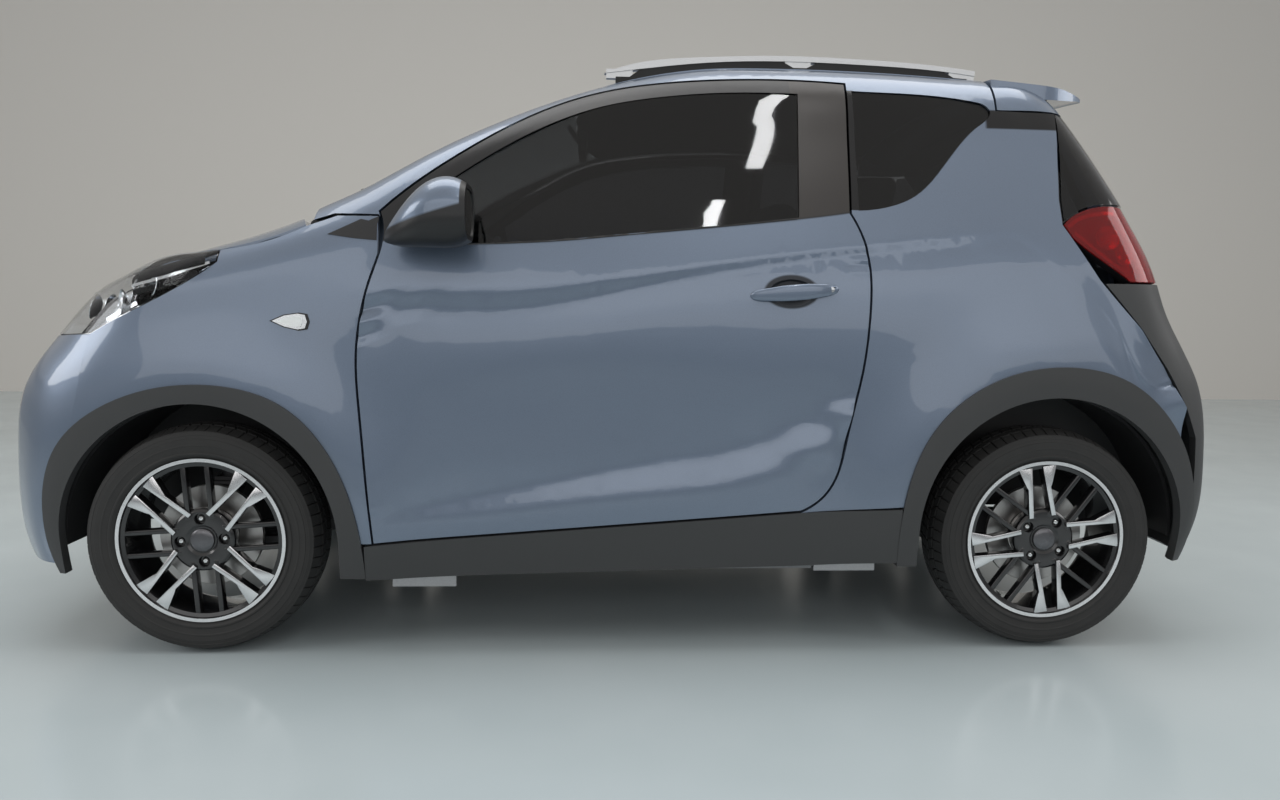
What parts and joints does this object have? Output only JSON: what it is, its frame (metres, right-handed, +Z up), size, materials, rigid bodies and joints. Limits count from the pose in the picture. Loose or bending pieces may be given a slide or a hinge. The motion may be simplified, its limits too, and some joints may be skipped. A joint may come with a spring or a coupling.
{
  "type": "electric city car",
  "caption": "Compact electric hatchback with opening doors, bonnet and tailgate, steered and rolling wheels, hollow cabin and alloy wheels.",
  "frame": {"origin": "on the ground under the middle of the car", "axes": "+X forward, +Y to the car's left, +Z up"},
  "size_m": [3.212, 1.9694, 1.556],
  "materials": {
    "body_paint": "gloss",
    "cladding": "matte",
    "dark_glass": "gloss",
    "lamp_lens": "gloss",
    "tail_lens": "gloss",
    "rail": "satin",
    "tyre": "matte",
    "alloy": "satin",
    "steel": "satin",
    "underbody": "matte",
    "interior": "matte",
    "trim_fabric": "matte",
    "plate": "satin",
    "battery_case": "satin"
  },
  "bodies": {
    "body": {"battery_pack": "battery_case", "body_side_left": "body_paint", "body_side_right": "body_paint", "cowl": "cladding", "dashboard": "interior", "drive_unit": "battery_case", "fender_left": "body_paint", "fender_right": "body_paint", "floor_pan": "underbody", "front_arch_trims": "cladding", "front_bumper": "body_paint", "front_plate": "plate", "front_seats": "trim_fabric", "front_subframe": "steel", "headlamp_left": "lamp_lens", "headlamp_right": "lamp_lens", "jacking_plates": "steel", "lower_grille": "cladding", "quarter_glass": "dark_glass", "rear_arch_trims": "cladding", "rear_axle": "steel", "rear_bench": "trim_fabric", "rear_bumper": "cladding", "roof_panel": "body_paint", "roof_rails": "rail", "sill_trims": "cladding", "steering_wheel": "interior", "tail_lamps": "tail_lens", "wheel_wells": "underbody", "windscreen": "dark_glass"},
    "door_left": {"door_left": "body_paint", "door_glass_left": "dark_glass", "door_mirror_left": "body_paint"},
    "door_right": {"door_right": "body_paint", "door_glass_right": "dark_glass", "door_mirror_right": "body_paint"},
    "bonnet": {"bonnet": "body_paint"},
    "tailgate": {"tailgate": "body_paint", "rear_glass": "dark_glass", "spoiler": "body_paint", "rear_plate": "plate"},
    "knuckle_left": {"knuckle_left": "steel"},
    "knuckle_right": {"knuckle_right": "steel"},
    "wheel_front_left": {"tyre_front_left": "tyre", "rim_front_left": "alloy"},
    "wheel_front_right": {"tyre_front_right": "tyre", "rim_front_right": "alloy"},
    "wheel_rear_left": {"tyre_rear_left": "tyre", "rim_rear_left": "alloy"},
    "wheel_rear_right": {"tyre_rear_right": "tyre", "rim_rear_right": "alloy"}
  },
  "joints": [
    {"name": "door_left_hinge", "type": "hinge", "parent": "body", "child": "door_left", "pos_m": [0.628, 0.829, 0.41], "axis": [0, 0.0544, -0.9985], "range_deg": [0, 65]},
    {"name": "door_right_hinge", "type": "hinge", "parent": "body", "child": "door_right", "pos_m": [0.628, -0.829, 0.41], "axis": [0, 0.0544, 0.9985], "range_deg": [0, 65]},
    {"name": "bonnet_hinge", "type": "hinge", "parent": "body", "child": "bonnet", "pos_m": [0.772, 0, 1.064], "axis": [0, -1, 0], "range_deg": [0, 50]},
    {"name": "tailgate_hinge", "type": "hinge", "parent": "body", "child": "tailgate", "pos_m": [-0.985, 0, 1.528], "axis": [0, 1, 0], "range_deg": [0, 75]},
    {"name": "steer_left", "type": "hinge", "parent": "body", "child": "knuckle_left", "pos_m": [1.035, 0.665, 0.29], "axis": [0, 0, 1], "range_deg": [-30, 30]},
    {"name": "steer_right", "type": "hinge", "parent": "body", "child": "knuckle_right", "pos_m": [1.035, -0.665, 0.29], "axis": [0, 0, 1], "range_deg": [-30, 30]},
    {"name": "roll_front_left", "type": "hinge", "parent": "knuckle_left", "child": "wheel_front_left", "pos_m": [1.035, 0.705, 0.29], "axis": [0, 1, 0], "continuous": true},
    {"name": "roll_front_right", "type": "hinge", "parent": "knuckle_right", "child": "wheel_front_right", "pos_m": [1.035, -0.705, 0.29], "axis": [0, 1, 0], "continuous": true},
    {"name": "roll_rear_left", "type": "hinge", "parent": "body", "child": "wheel_rear_left", "pos_m": [-1.115, 0.705, 0.29], "axis": [0, 1, 0], "continuous": true},
    {"name": "roll_rear_right", "type": "hinge", "parent": "body", "child": "wheel_rear_right", "pos_m": [-1.115, -0.705, 0.29], "axis": [0, 1, 0], "continuous": true}
  ],
  "couplings": [
    {"joint": "steer_right", "follows": "steer_left", "ratio": 1}
  ]
}
